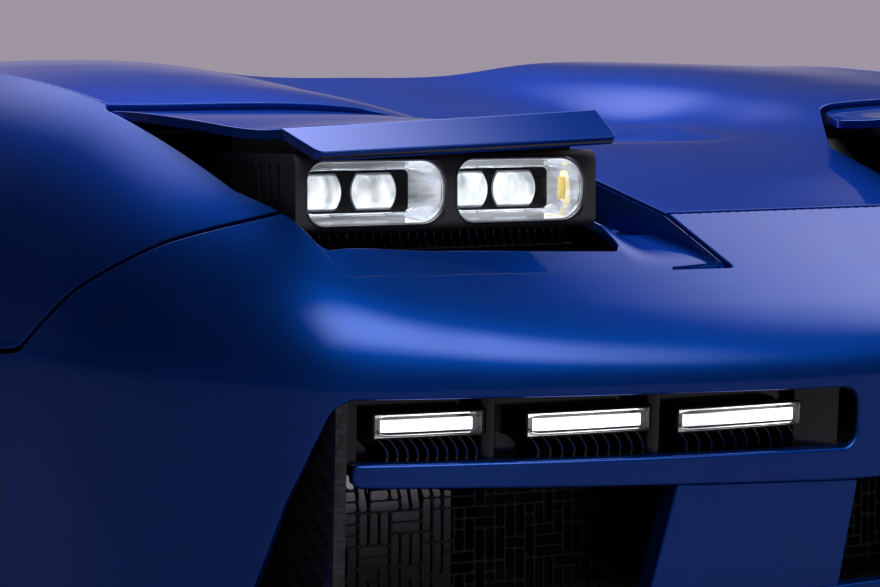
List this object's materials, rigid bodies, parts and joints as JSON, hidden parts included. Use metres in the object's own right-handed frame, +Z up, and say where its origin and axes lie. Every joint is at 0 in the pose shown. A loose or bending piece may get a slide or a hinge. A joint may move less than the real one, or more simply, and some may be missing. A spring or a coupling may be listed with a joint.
{
  "type": "supercar nose section with rising lamps",
  "caption": "Front body section of a mid-engined supercar with opening bonnet, rising lamps, daylight lamp slots, intakes and the frame that bolts to the cabin bulkhead.",
  "frame": {"origin": "centre of the four bolts that hold the frame to the cabin's bulkhead, on the bulkhead face", "axes": "+X to the car's left, -Y forward, +Z up"},
  "size_m": [1.9578, 1.251, 0.6546],
  "materials": {
    "paint": "metallic gloss",
    "satin_grey": "satin",
    "black_plastic": "satin",
    "gloss_black": "gloss",
    "carbon": "woven, lacquered",
    "glass": "clear",
    "reflector": "polished",
    "steel": "plain",
    "black_metal": "powder coated",
    "aluminium": "brushed"
  },
  "bodies": {
    "body": {"arch_liner_l": "black_plastic", "arch_liner_r": "black_plastic", "cowl_panel": "black_plastic", "crash_beam": "aluminium", "daylight_lamps_l": "glass", "daylight_lamps_r": "glass", "duct_blade_l": "carbon", "duct_blade_r": "carbon", "duct_liner_l": "carbon", "duct_liner_r": "carbon", "front_frame": "aluminium", "intake_mesh": "gloss_black", "lamp_sill_l": "paint", "lamp_sill_r": "paint", "lamp_well_l": "black_plastic", "lamp_well_r": "black_plastic", "lift_motor_l": "black_metal", "lift_motor_r": "black_metal", "luggage_tub": "black_plastic", "nose_cover": "paint", "radiator_l": "black_metal", "radiator_r": "black_metal", "slot_carrier_l": "gloss_black", "slot_carrier_r": "gloss_black", "splitter": "carbon", "strake_l": "paint", "strake_r": "paint", "undertray": "black_plastic", "wing_l": "paint", "wing_r": "paint"},
    "bonnet": {"bonnet": "paint", "bonnet_frame": "black_metal", "bonnet_hinges": "steel"},
    "lamp_l": {"lid_l": "paint", "lid_liner_l": "black_plastic", "pod_l": "satin_grey", "lamp_reflector_l": "reflector", "lamp_cover_l": "glass", "lamp_lens_l": "glass", "lamp_vanes_l": "gloss_black", "lift_arms_l": "steel"},
    "lamp_r": {"lid_r": "paint", "lid_liner_r": "black_plastic", "pod_r": "satin_grey", "lamp_reflector_r": "reflector", "lamp_cover_r": "glass", "lamp_lens_r": "glass", "lamp_vanes_r": "gloss_black", "lift_arms_r": "steel"}
  },
  "joints": [
    {"name": "bonnet_hinge", "type": "hinge", "parent": "body", "child": "bonnet", "pos_m": [0, -0.054, 0.376], "axis": [-1, 0, 0], "range_deg": [0, 50]},
    {"name": "lamp_lift_l", "type": "hinge", "parent": "body", "child": "lamp_l", "pos_m": [0.6, -0.672, 0.322], "axis": [1, 0, 0], "range_deg": [0, 16]},
    {"name": "lamp_lift_r", "type": "hinge", "parent": "body", "child": "lamp_r", "pos_m": [-0.6, -0.672, 0.322], "axis": [1, 0, 0], "range_deg": [0, 16]}
  ]
}
